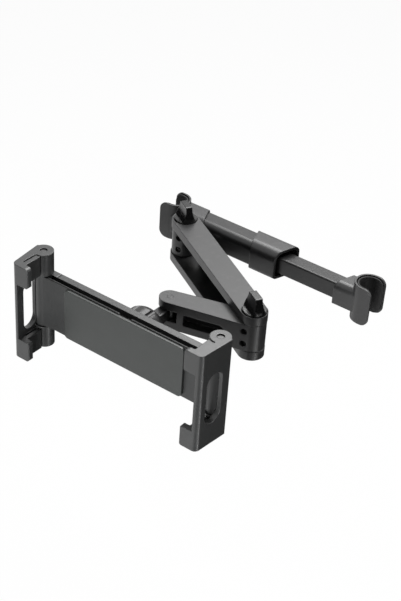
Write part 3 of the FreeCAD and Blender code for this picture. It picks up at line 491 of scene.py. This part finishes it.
def painted_metal(name, look):
    """Satin black paint over drawn metal: long faint draw lines under a slightly rippled coat."""
    material, tree, shader, position = blank_material(name)
    ripple = effect(tree, "grain", "Paint ripple", {"Position": position, "Grain Size": look.ripple_size})
    lines = effect(tree, "marks", "Draw lines",
                   {"Position": position, "Spacing": 0.0009, "Stretch": (0.03, 1.0, 1.0)})
    edge = effect(tree, "edge", "Edge wear",
                  {"Position": position, "Radius": look.edge_radius, "Break Size": 0.002})
    dust = effect(tree, "dust", "Settled dust", {"Position": position, "Patch Size": 0.004})
    streak = lines.outputs["Streak"]
    base = mixed(tree, streak, rgba(look.paint_colour, 0.93), rgba(look.paint_colour, 1.09))
    edge_toned = tinted(tree, edge.outputs["Mask"], 0.25, base, WORN_PAINT)
    dusty = tinted(tree, dust.outputs["Mask"], DUST_SHARE, edge_toned, DUST_COLOUR)
    tree.links.new(dusty, shader.inputs["Base Color"])
    tree.links.new(spread(tree, streak, 0.0, 1.0, look.roughness - 0.015, look.roughness + 0.02),
                   shader.inputs["Roughness"])
    emboss(tree, shader, "Coat", ripple.outputs["Height"], strength=0.5, distance=look.ripple_depth,
           over=edge.outputs["Normal"])
    shader.inputs["Specular IOR Level"].default_value = 0.45
    return material


def soft_rubber(name, look):
    """Dull black rubber, slightly paler where the post rubs it."""
    material, tree, shader, position = blank_material(name)
    grain = effect(tree, "grain", "Rubber grain", {"Position": position, "Grain Size": 0.0005})
    mottle = effect(tree, "mottle", "Rubbed patches",
                    {"Position": position, "Patch Size": 0.006, "Stretch": (1.0, 1.0, 0.25)})
    colour = look.rubber_colour
    base = mixed(tree, mottle.outputs["Tone"], rgba(colour, 0.88), rgba(colour, 1.2))
    speckled = tinted(tree, grain.outputs["Speckle"], 0.15, base, rgba(colour, 2.0))
    tree.links.new(speckled, shader.inputs["Base Color"])
    tree.links.new(spread(tree, mottle.outputs["Cloud"], 0.3, 0.7, look.roughness - 0.05,
                          look.roughness + 0.06), shader.inputs["Roughness"])
    emboss(tree, shader, "Grain", grain.outputs["Height"], strength=0.4, distance=0.00001)
    shader.inputs["Specular IOR Level"].default_value = 0.35
    shader.inputs["Sheen Weight"].default_value = 0.08
    return material


def worked_metal(name, colour, roughness, spacing, stretch):
    """Bare metal with tool marks, a slightly uneven tone and bright edges."""
    material, tree, shader, position = blank_material(name)
    marks = effect(tree, "marks", "Tool marks",
                   {"Position": position, "Spacing": spacing, "Stretch": stretch})
    edge = effect(tree, "edge", "Bright edges",
                  {"Position": position, "Radius": 0.00015, "Break Size": 0.001})
    mottle = effect(tree, "mottle", "Uneven tone",
                    {"Position": position, "Patch Size": 0.005, "Stretch": EVEN})
    base = mixed(tree, marks.outputs["Streak"], rgba(colour, 0.88), rgba(colour, 1.08))
    toned = tinted(tree, mottle.outputs["Tone"], 0.25, base, rgba(colour, 0.78))
    bright = tinted(tree, edge.outputs["Mask"], 0.5, toned, rgba(colour, 1.35))
    tree.links.new(bright, shader.inputs["Base Color"])
    tree.links.new(spread(tree, marks.outputs["Streak"], 0.0, 1.0, roughness - 0.05, roughness + 0.08),
                   shader.inputs["Roughness"])
    emboss(tree, shader, "Marks", marks.outputs["Height"], strength=0.4, distance=0.000006,
           over=edge.outputs["Normal"])
    shader.inputs["Metallic"].default_value = 1.0
    return material


def bearing_plastic(name, colour):
    """Natural slippery plastic, smooth with faint turning lines."""
    material, tree, shader, position = blank_material(name)
    marks = effect(tree, "marks", "Faint lines",
                   {"Position": position, "Spacing": 0.0006, "Stretch": (0.1, 1.0, 0.1)})
    mottle = effect(tree, "mottle", "Cloudy tone",
                    {"Position": position, "Patch Size": 0.008, "Stretch": EVEN})
    edge = effect(tree, "edge", "Edge polish", {"Position": position, "Radius": 0.0002, "Break Size": 0.002})
    base = mixed(tree, mottle.outputs["Tone"], rgba(colour, 0.92), rgba(colour, 1.05))
    lined = tinted(tree, marks.outputs["Streak"], 0.2, base, rgba(colour, 0.84))
    tree.links.new(lined, shader.inputs["Base Color"])
    tree.links.new(spread(tree, marks.outputs["Streak"], 0.0, 1.0, 0.30, 0.42), shader.inputs["Roughness"])
    emboss(tree, shader, "Lines", marks.outputs["Height"], strength=0.3, distance=0.00001,
           over=edge.outputs["Normal"])
    return material


def felt(name):
    """Black felt, which mirrors nothing."""
    material, tree, shader, position = blank_material(name)
    nap = effect(tree, "grain", "Felt", {"Position": position, "Grain Size": 0.002})
    tree.links.new(mixed(tree, nap.outputs["Speckle"], rgba(FELT_COLOUR), rgba(FELT_COLOUR, 2.0)),
                   shader.inputs["Base Color"])
    shader.inputs["Roughness"].default_value = 1.0
    shader.inputs["Specular IOR Level"].default_value = 0.0
    return material


def seen_as_picture(tree):
    """1 for what the camera sees straight, mirrored or through glass, and 0 for the light that it gives."""
    rays = tree.nodes.new("ShaderNodeLightPath")
    mirrored = math_node(tree, "ADD", rays.outputs["Is Glossy Ray"], rays.outputs["Is Transmission Ray"])
    return math_node(tree, "ADD", rays.outputs["Is Camera Ray"], mirrored, clamp=True)


def floor_material(colour):
    """Pale floor that shows white to the camera and keeps the object's soft shadow."""
    material, tree, shader, position = blank_material("pale floor")
    mottle = effect(tree, "mottle", "Soft mottle",
                    {"Position": position, "Patch Size": 0.2, "Stretch": EVEN})
    tree.links.new(mixed(tree, mottle.outputs["Tone"], rgba(colour, 0.98), rgba(colour, 1.02)),
                   shader.inputs["Base Color"])
    shader.inputs["Roughness"].default_value = 0.9
    shader.inputs["Specular IOR Level"].default_value = 0.0
    white = add(tree, "ShaderNodeEmission", "White", {"Color": WHITE, "Strength": 1.0})
    both = add(tree, "ShaderNodeMixShader", "Seen as white",
               {0: math_node(tree, "MULTIPLY", seen_as_picture(tree), FLOOR_WHITE_SHARE),
                1: shader.outputs[0], 2: white.outputs[0]})
    tree.links.new(both.outputs[0], tree.nodes["Material Output"].inputs["Surface"])
    return material


def finish(names, material):
    """Gives every slot of the named solids one material."""
    for name in names:
        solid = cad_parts[name]
        if not solid.material_slots:
            solid.data.materials.append(material)
        for place in solid.material_slots:
            place.material = material


# Shapes

def arc(across, up, radius, start, end, steps=ARC_STEPS):
    """Points along an arc between two angles in degrees."""
    angles = [math.radians(start + (end - start) * i / steps) for i in range(steps + 1)]
    return [(across + radius * math.cos(a), up + radius * math.sin(a)) for a in angles]


def strips(rows, count, closed):
    """The faces between rows of as many points each; closed rows also join their last point to their first."""
    around = range(count if closed else count - 1)
    return [(r * count + k, r * count + (k + 1) % count, (r + 1) * count + (k + 1) % count, (r + 1) * count + k)
            for r in range(rows - 1) for k in around]


def smooth_mesh(name, verts, faces, sharp_angle):
    """A mesh shaded smooth, but for edges sharper than an angle in degrees."""
    mesh = bpy.data.meshes.new(name)
    mesh.from_pydata(verts, [], faces)
    mesh.validate()
    mesh.shade_smooth()
    mesh.set_sharp_from_angle(angle=math.radians(sharp_angle))
    return mesh


def add_piece(scene, name, mesh, material):
    """An object of one mesh and one material."""
    mesh.materials.append(material)
    piece = bpy.data.objects.new(name, mesh)
    scene.collection.objects.link(piece)
    return piece


def end_block_outline(size, low, high):
    """A block's outline, outwards and upwards; its inner end follows the housing's rounded corners."""
    rounding = size.housing_rounding
    fit = rounding + size.clearance
    upper, lower = high - rounding, low + rounding
    foot = low + size.foot
    outer = size.length - size.corner
    return (arc(-rounding, upper, fit, math.degrees(math.asin(rounding / fit)), 0.0)
            + arc(-rounding, lower, fit, 0.0, -math.degrees(math.asin((lower - foot) / fit)))
            + arc(outer, foot + size.corner, size.corner, -90.0, 0.0)
            + arc(outer, high - size.corner, size.corner, 0.0, 90.0))


def end_block_mesh(name, size, side):
    """A block beside the housing's end, on the side that -1 or 1 gives."""
    low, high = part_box("rear_housing")
    wall = low.x if side < 0 else high.x
    front = low.y + size.setback
    outline = [(wall + side * u, z) for u, z in end_block_outline(size, low.z, high.z)]
    count = len(outline)
    verts = [(x, y, z) for y in (front, front + size.depth) for x, z in outline]
    faces = strips(2, count, closed=True)
    faces += [tuple(range(count)), tuple(reversed(range(count, 2 * count)))]
    if side > 0:
        faces = [tuple(reversed(face)) for face in faces]
    return smooth_mesh(name, verts, faces, sharp_angle=35)


def liner_path(radius, reach):
    """Points and outward directions along a U that opens towards -X."""
    steps = [reach * i / LEG_STEPS for i in range(LEG_STEPS + 1)]
    rows = [(Vector((-reach + step, -radius, 0.0)), Vector((0.0, -1.0, 0.0))) for step in steps[:-1]]
    for i in range(BEND_STEPS + 1):
        angle = -math.pi / 2 + math.pi * i / BEND_STEPS
        outward = Vector((math.cos(angle), math.sin(angle), 0.0))
        rows.append((outward * radius, outward))
    rows += [(Vector((-step, radius, 0.0)), Vector((0.0, 1.0, 0.0))) for step in steps[1:]]
    return rows


def rounded_loop(corners, radius, steps):
    """A closed outline with each corner rounded, inward corners too."""
    loop = []
    for i, corner in enumerate(corners):
        here = Vector(corner)
        back = (Vector(corners[i - 1]) - here).normalized()
        ahead = (Vector(corners[(i + 1) % len(corners)]) - here).normalized()
        start, end = here + back * radius, here + ahead * radius
        for k in range(steps + 1):
            t = k / steps
            loop.append(start * (1 - t) ** 2 + here * 2 * t * (1 - t) + end * t ** 2)
    return loop


def liner_mesh(name, size):
    """A liner's mesh: its cross-section follows the U, and shortens round the corners of the legs."""
    path = liner_path(size.post_radius, size.reach)
    verts = []
    for point, outward in path:
        depth = point.x + size.reach
        drop = 0.0
        if depth < size.leg_corner:
            drop = size.leg_corner - math.sqrt(size.leg_corner ** 2 - (size.leg_corner - depth) ** 2)
        half = size.half_height - drop
        shoulder = half - size.rim_height
        corners = [(0.0, -half), (size.rim_wall, -half), (size.rim_wall, -shoulder), (size.wall, -shoulder),
                   (size.wall, shoulder), (size.rim_wall, shoulder), (size.rim_wall, half), (0.0, half)]
        for across, high in rounded_loop(corners, size.edge_radius, CORNER_STEPS):
            verts.append(point + outward * across + Vector((0.0, 0.0, high)))
    count = len(verts) // len(path)
    faces = strips(len(path), count, closed=True)
    faces.append(tuple(range(count)))
    faces.append(tuple(reversed(range(len(verts) - count, len(verts)))))
    return smooth_mesh(name, verts, faces, sharp_angle=40)


def coil_mesh(name, low, high, wire, turns_made):
    """A coil along X between two corners, with its end turns closed."""
    middle, radius = (low + high) / 2, (high.y - low.y) / 2 - wire
    length_inside = high.x - low.x - 2 * wire
    steps = COIL_STEPS_PER_TURN * turns_made
    path = []
    for i in range(steps + 1):
        turn = turns_made * i / steps
        done = min(max((turn - END_TURN) / (turns_made - 2 * END_TURN), 0.0), 1.0)
        radial = Vector((0.0, math.cos(math.tau * turn), math.sin(math.tau * turn)))
        along = Vector((low.x + wire + done * length_inside, middle.y, middle.z))
        path.append((along + radial * radius, radial))
    verts = []
    for i, (point, radial) in enumerate(path):
        ahead = (path[min(i + 1, steps)][0] - path[max(i - 1, 0)][0]).normalized()
        side = ahead.cross(radial).normalized()
        for k in range(WIRE_SIDES):
            angle = math.tau * k / WIRE_SIDES
            verts.append(point + (radial * math.cos(angle) + side * math.sin(angle)) * wire)
    faces = strips(len(path), WIRE_SIDES, closed=True)
    faces.append(tuple(reversed(range(WIRE_SIDES))))
    faces.append(tuple(range(len(verts) - WIRE_SIDES, len(verts))))
    return smooth_mesh(name, verts, faces, sharp_angle=50)


# Operators

class HOLDER_OT_cradle(bpy.types.Operator):
    """Finish the cradle's housing, plate, slides and claws, the ball nut and the ball stem"""
    bl_idname = "holder.cradle"
    bl_label = "Cradle Mouldings"

    def execute(self, context):
        look = context.scene.holder_mouldings
        low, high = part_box("rear_housing")
        finish(CRADLE_MOULDINGS,
               moulded_plastic("cradle plastic", look.cradle_colour, look, flow=FLOW_ALONG_X))
        # The slides carry the painted shade of the cradle's channel on their tops
        finish(SLIDES, moulded_plastic("slide plastic", look.cradle_colour, look, roughness_shift=0.04,
                                       specular=0.25, flow=FLOW_ALONG_X, shade_middle=(low.x + high.x) / 2))
        finish(NUT_MOULDINGS, moulded_plastic("nut plastic", look.nut_colour, look, roughness_shift=-0.03,
                                              specular=0.4))
        finish(("front_plate",), moulded_plastic("plate plastic", look.plate_colour, look,
                                                 roughness_shift=0.04, flow=FLOW_ALONG_PLATE))
        return {"FINISHED"}


class HOLDER_OT_end_blocks(bpy.types.Operator):
    """Make the small block on the end of each slide, which closes the cradle's channel behind the claw"""
    bl_idname = "holder.end_blocks"
    bl_label = "Slide End Blocks"

    def execute(self, context):
        size, look = context.scene.holder_end_blocks, context.scene.holder_mouldings
        plastic = moulded_plastic("end block plastic", look.cradle_colour, look, flow=FLOW_ALONG_X)
        for name, body, side in (("left_end_block", "left_jaw", -1), ("right_end_block", "right_jaw", 1)):
            block = add_piece(context.scene, name, end_block_mesh(name, size, side), plastic)
            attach(block, body)
        return {"FINISHED"}


class HOLDER_OT_hooks(bpy.types.Operator):
    """Finish the two hook mouldings and the collar"""
    bl_idname = "holder.hooks"
    bl_label = "Hook Mouldings"

    def execute(self, context):
        look = context.scene.holder_mouldings
        finish(HOOK_MOULDINGS, moulded_plastic("hook plastic", look.hook_colour, look, flow=FLOW_ALONG_X))
        finish(("lock_collar",), moulded_plastic("collar plastic", look.collar_colour, look,
                                                 roughness_shift=-0.02, flow=FLOW_ALONG_X,
                                                 edge_radius=look.collar_edge))
        return {"FINISHED"}


class HOLDER_OT_arms(bpy.types.Operator):
    """Finish the two arms, the stem's pin and the hinge knobs"""
    bl_idname = "holder.arms"
    bl_label = "Arms and Knobs"

    def execute(self, context):
        look = context.scene.holder_mouldings
        finish(ARM_MOULDINGS, moulded_plastic("arm plastic", look.arm_colour, look, roughness_shift=0.03,
                                              specular=0.42, flow=FLOW_ALONG_ARMS))
        finish(KNOB_MOULDINGS, moulded_plastic("knob plastic", look.knob_colour, look,
                                               roughness_shift=-0.12))
        return {"FINISHED"}


class HOLDER_OT_bar(bpy.types.Operator):
    """Finish the painted tube and inner bar"""
    bl_idname = "holder.bar"
    bl_label = "Painted Bar"

    def execute(self, context):
        finish(PAINTED_BARS, painted_metal("bar paint", context.scene.holder_bar))
        return {"FINISHED"}


class HOLDER_OT_liners(bpy.types.Operator):
    """Make the soft liner of each hook"""
    bl_idname = "holder.liners"
    bl_label = "Hook Liners"

    def execute(self, context):
        size = context.scene.holder_liners
        rubber = soft_rubber("liner rubber", size)
        for name, node, body, turn in (("left_liner", "left_hook_pad", "base", 0.0),
                                       ("right_liner", "right_hook_pad", "sliding_bar", math.pi)):
            low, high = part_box(node)
            middle = (low + high) / 2
            mesh = liner_mesh(name, size)
            mesh.transform(Matrix.Rotation(turn, 4, "Z"))
            across = [v.co.x for v in mesh.vertices]
            shift = Vector((middle.x - (min(across) + max(across)) / 2, middle.y, middle.z))
            mesh.transform(Matrix.Translation(shift))
            liner = add_piece(context.scene, name, mesh, rubber)
            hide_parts(node)
            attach(liner, body)
        return {"FINISHED"}


class HOLDER_OT_coils(bpy.types.Operator):
    """Make the springs in place of the frame's spring nodes"""
    bl_idname = "holder.coils"
    bl_label = "Springs"

    def execute(self, context):
        size = context.scene.holder_coils
        metal = worked_metal("drawn wire", size.wire_colour, roughness=0.26, spacing=0.0004,
                             stretch=ALONG_THE_WIRE)
        bar, clamp = (size.bar_wire, size.bar_turns), (size.clamp_wire, size.clamp_turns)
        for name, node, fixed, moving, outwards, (wire, turns_made) in (
                ("bar_coil", "bar_spring", "base", "sliding_bar", 1, bar),
                ("left_clamp_coil", "left_clamp_spring", "cradle", "left_jaw", -1, clamp),
                ("right_clamp_coil", "right_clamp_spring", "cradle", "right_jaw", 1, clamp)):
            low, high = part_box(node)
            coil = add_piece(context.scene, name, coil_mesh(name, low, high, wire, turns_made), metal)
            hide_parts(node)
            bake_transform(coil)
        return {"FINISHED"}


class HOLDER_OT_fittings(bpy.types.Operator):
    """Finish bolts, pins, washers, screws, inserts and bearings"""
    bl_idname = "holder.fittings"
    bl_label = "Fittings"

    def execute(self, context):
        look = context.scene.holder_fittings
        for names, label, colour, roughness in (
                (TURNED_STEEL, "turned steel", look.steel_colour, 0.30),
                (DARK_SCREWS, "blackened steel", look.dark_colour, 0.42),
                (BRASS_INSERTS, "machined brass", look.brass_colour, 0.28)):
            finish(names, worked_metal(label, colour, roughness, look.mark_spacing, ROUND_AN_UPRIGHT))
        finish(COATED_PINS,
               moulded_plastic("pin coating", look.coating_colour, context.scene.holder_mouldings))
        finish(BEARINGS, bearing_plastic("bearing plastic", look.bearing_colour))
        return {"FINISHED"}


class HOLDER_OT_stage(bpy.types.Operator):
    """Set the floor, the soft lamps, the white surroundings and the camera"""
    bl_idname = "holder.stage"
    bl_label = "Studio"

    def execute(self, context):
        scene, look = context.scene, context.scene.holder_studio
        scene.view_settings.view_transform = "Standard"
        self.add_floor(scene, look)
        self.add_surroundings(scene, look)
        for name, place, width, height, watts in (
                ("top lamp", (0.02, 0.45, 0.95), 1.0, 0.8, look.top_power),
                ("front lamp", (0.30, -1.15, -0.05), 0.6, 0.28, look.front_power),
                ("side strip", (0.36, -0.135, -0.20), 0.045, 0.15, look.side_power)):
            self.add_lamp(scene, name, place, width, height, watts)
        self.add_dark_card(scene, look)
        self.add_flag(scene)
        self.add_camera(scene, look)
        return {"FINISHED"}

    def add_backdrop(self, scene, name, verts, faces, material, place, unseen_by=()):
        """A piece of the studio, which the named kinds of rays don't see."""
        mesh = bpy.data.meshes.new(name)
        mesh.from_pydata(verts, [], faces)
        backdrop = add_piece(scene, name, mesh, material)
        backdrop.location = place
        for rays in unseen_by:
            setattr(backdrop, "visible_" + rays, False)

    def add_floor(self, scene, look):
        """A round pale floor well below the holder, which hangs in the air in use."""
        angles = [math.tau * i / FLOOR_SIDES for i in range(FLOOR_SIDES)]
        rim = [(FLOOR_RADIUS * math.cos(a), FLOOR_RADIUS * math.sin(a), 0.0) for a in angles]
        self.add_backdrop(scene, "floor", rim, [tuple(range(FLOOR_SIDES))], floor_material(look.floor_colour),
                          (0.0, 0.0, -look.floor_drop))

    def add_dark_card(self, scene, look):
        """A dark card in two sectors over the floor, which keeps the right sides deep but for a pale stripe."""
        verts, faces = [], []
        for start, end in CARD_SECTORS:
            first = len(verts)
            for radius in CARD_RADII:
                verts += [(x, y, 0.0) for x, y in arc(0.0, 0.0, radius, start, end, CARD_STEPS)]
            faces += [tuple(first + i for i in face) for face in strips(2, CARD_STEPS + 1, closed=False)]
        place = Vector(STAGE_MIDDLE) + Vector((0.0, 0.0, CARD_LIFT - look.floor_drop))
        self.add_backdrop(scene, "dark_card", verts, faces, felt("dark card"), place,
                          ("camera", "shadow", "transmission"))

    def add_flag(self, scene):
        """A dark band round the front at eye level, which draws the dark line under each upper edge."""
        rim = arc(0.0, 0.0, FLAG_RADIUS, *FLAG_SECTOR, FLAG_STEPS)
        verts = [(x, y, z) for z in FLAG_HEIGHTS for x, y in rim]
        self.add_backdrop(scene, "flag", verts, strips(2, FLAG_STEPS + 1, closed=False), felt("flag"),
                          STAGE_MIDDLE, ("camera", "shadow", "transmission", "diffuse"))

    def add_surroundings(self, scene, look):
        """White where the camera or a reflection sees it, and dim as a source of light."""
        world = bpy.data.worlds.new("surroundings")
        world.use_nodes = True
        scene.world = world
        tree = world.node_tree
        background = tree.nodes["Background"]
        background.inputs["Color"].default_value = WHITE
        tree.links.new(spread(tree, seen_as_picture(tree), 0.0, 1.0, look.room_light, 1.0),
                       background.inputs["Strength"])

    def add_lamp(self, scene, name, place, width, height, watts):
        """A soft lamp that looks at the middle of the holder."""
        data = bpy.data.lights.new(name, "AREA")
        data.shape, data.size, data.size_y, data.energy = "RECTANGLE", width, height, watts
        lamp = bpy.data.objects.new(name, data)
        lamp.location = place
        lamp.rotation_euler = (Vector(STAGE_MIDDLE) - Vector(place)).to_track_quat("-Z", "Y").to_euler()
        lamp.visible_camera = False
        scene.collection.objects.link(lamp)

    def add_camera(self, scene, look):
        """The camera stands in front of the holder's right end and looks down on it."""
        data = bpy.data.cameras.new("camera")
        data.sensor_width, data.lens = SENSOR_WIDTH, look.focal_length
        data.clip_start, data.clip_end = 0.02, 20.0
        camera = bpy.data.objects.new("camera", data)
        right = Vector(CAMERA_RIGHT).normalized()
        forward = Vector(CAMERA_FORWARD).normalized()
        up = right.cross(forward)
        turn = Matrix((right, up, -forward)).transposed()
        camera.matrix_world = Matrix.Translation(CAMERA_PLACE) @ turn.to_4x4()
        scene.collection.objects.link(camera)
        scene.camera = camera


class HOLDER_PT_panel(bpy.types.Panel):
    """Lists the holder's finishes and studio"""
    bl_idname = "HOLDER_PT_panel"
    bl_label = "Tablet Holder"
    bl_space_type = "VIEW_3D"
    bl_region_type = "UI"
    bl_category = "Tablet Holder"

    def draw(self, context):
        for operator, group in STEPS:
            box = self.layout.box()
            box.operator(operator.bl_idname)
            settings = getattr(context.scene, group)
            for key in settings.__annotations__:
                box.prop(settings, key)


# The operators in order, each with the settings that the panel shows beside it
STEPS = (
    (HOLDER_OT_cradle, "holder_mouldings"),
    (HOLDER_OT_end_blocks, "holder_end_blocks"),
    (HOLDER_OT_hooks, "holder_mouldings"),
    (HOLDER_OT_arms, "holder_mouldings"),
    (HOLDER_OT_bar, "holder_bar"),
    (HOLDER_OT_liners, "holder_liners"),
    (HOLDER_OT_coils, "holder_coils"),
    (HOLDER_OT_fittings, "holder_fittings"),
    (HOLDER_OT_stage, "holder_studio"),
)
SETTINGS = {
    "holder_mouldings": MouldingFinish,
    "holder_end_blocks": EndBlockSize,
    "holder_bar": BarFinish,
    "holder_liners": LinerFinish,
    "holder_coils": CoilSize,
    "holder_fittings": FittingFinish,
    "holder_studio": StudioSettings,
}


def register():
    """Registers the settings, the operators and the panel."""
    for group in SETTINGS.values():
        bpy.utils.register_class(group)
    for operator, _ in STEPS:
        bpy.utils.register_class(operator)
    bpy.utils.register_class(HOLDER_PT_panel)
    for name, group in SETTINGS.items():
        setattr(bpy.types.Scene, name, PointerProperty(type=group))


def unregister():
    """Takes them all out again, in the opposite order."""
    for name in SETTINGS:
        delattr(bpy.types.Scene, name)
    bpy.utils.unregister_class(HOLDER_PT_panel)
    for operator, _ in reversed(STEPS):
        bpy.utils.unregister_class(operator)
    for group in reversed(list(SETTINGS.values())):
        bpy.utils.unregister_class(group)


def main():
    """Dresses the frame and sets the studio."""
    register()
    bpy.ops.holder.cradle()
    bpy.ops.holder.end_blocks()
    bpy.ops.holder.hooks()
    bpy.ops.holder.arms()
    bpy.ops.holder.bar()
    bpy.ops.holder.liners()
    bpy.ops.holder.coils()
    bpy.ops.holder.fittings()
    bpy.ops.holder.stage()


if __name__ == "__main__":
    main()
